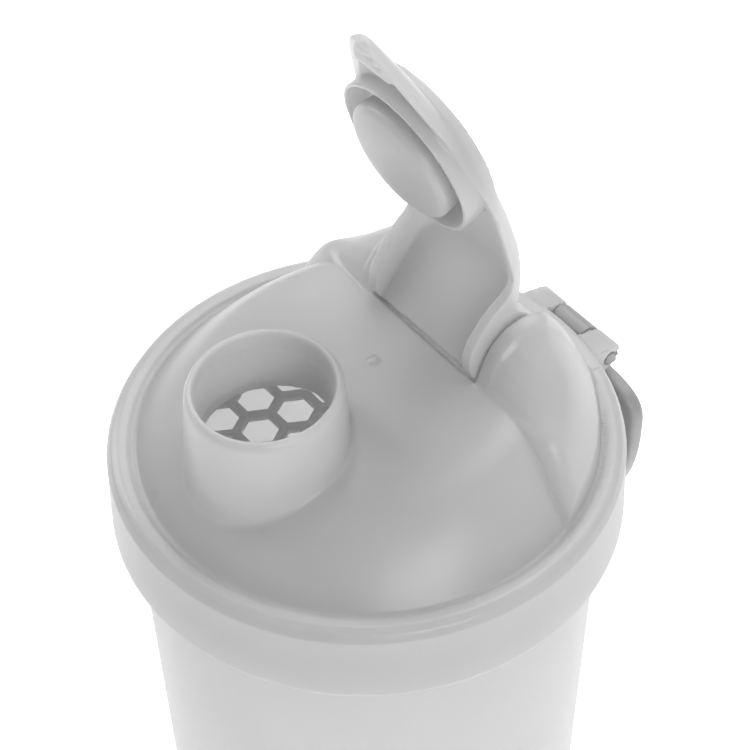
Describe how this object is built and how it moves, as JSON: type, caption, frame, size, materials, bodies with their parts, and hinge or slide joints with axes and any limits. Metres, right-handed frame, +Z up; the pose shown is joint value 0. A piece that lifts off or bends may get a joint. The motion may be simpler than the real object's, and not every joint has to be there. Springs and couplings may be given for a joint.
{
  "type": "protein shaker bottle",
  "caption": "Round shaker bottle with a screw lid, drinking spout, flip cap, strainer, carry loop and screw-on storage cups under it.",
  "frame": {"origin": "centre of the underside, on the axis of the bottle", "axes": "+Z up along the bottle's axis, -Y towards the spout, +Y towards the cap's hinge and the carry loop, X along the hinge"},
  "size_m": [0.1, 0.1059, 0.2751],
  "materials": {
    "clear": "translucent moulded plastic, lightly glossy",
    "frosted": "frosted translucent plastic, soft sheen",
    "satin": "satin moulded plastic",
    "silicone": "soft matte silicone"
  },
  "bodies": {
    "bottle": {"bottle": "clear"},
    "lid_carrier": {"lid_seal": "silicone"},
    "lid": {"lid": "frosted", "loop_pin": "satin"},
    "strainer": {"strainer": "satin"},
    "cap": {"flip_cap": "frosted", "spout_plug": "silicone"},
    "loop": {"carry_loop": "satin"},
    "powder_carrier": {"powder_cup_seal": "silicone"},
    "powder_cup": {"powder_cup": "clear"},
    "pill_carrier": {"pill_cup_seal": "silicone"},
    "pill_cup": {"pill_cup": "clear"},
    "tray": {"pill_tray": "satin"}
  },
  "joints": [
    {"name": "lid_lift", "type": "slide", "parent": "bottle", "child": "lid_carrier", "axis": [0, 0, 1], "range_m": [0, 0.0181]},
    {"name": "lid_turn", "type": "hinge", "parent": "lid_carrier", "child": "lid", "pos_m": [0, 0, 0.165], "axis": [0, 0, 1], "range_deg": [0, 540]},
    {"name": "strainer_drop", "type": "slide", "parent": "lid", "child": "strainer", "axis": [0, 0, -1], "range_m": [0, 0.03]},
    {"name": "cap_hinge", "type": "hinge", "parent": "lid", "child": "cap", "pos_m": [0, 0.0204, 0.2037], "axis": [-1, 0, 0], "range_deg": [-74, 36]},
    {"name": "loop_swing", "type": "hinge", "parent": "lid", "child": "loop", "pos_m": [0, 0.053, 0.1766], "axis": [1, 0, 0], "range_deg": [0, 175]},
    {"name": "powder_drop", "type": "slide", "parent": "bottle", "child": "powder_carrier", "axis": [0, 0, -1], "range_m": [0, 0.0181]},
    {"name": "powder_turn", "type": "hinge", "parent": "powder_carrier", "child": "powder_cup", "pos_m": [0, 0, 0.05], "axis": [0, 0, -1], "range_deg": [0, 540]},
    {"name": "pill_drop", "type": "slide", "parent": "powder_cup", "child": "pill_carrier", "axis": [0, 0, -1], "range_m": [0, 0.0181]},
    {"name": "pill_turn", "type": "hinge", "parent": "pill_carrier", "child": "pill_cup", "pos_m": [0, 0, 0.02], "axis": [0, 0, -1], "range_deg": [0, 540]},
    {"name": "tray_lift", "type": "slide", "parent": "pill_cup", "child": "tray", "axis": [0, 0, 1], "range_m": [0, 0.008]}
  ],
  "couplings": [
    {"joint": "lid_lift", "follows": "lid_turn", "m_per_rad": 0.0019099},
    {"joint": "powder_drop", "follows": "powder_turn", "m_per_rad": 0.0019099},
    {"joint": "pill_drop", "follows": "pill_turn", "m_per_rad": 0.0019099}
  ]
}
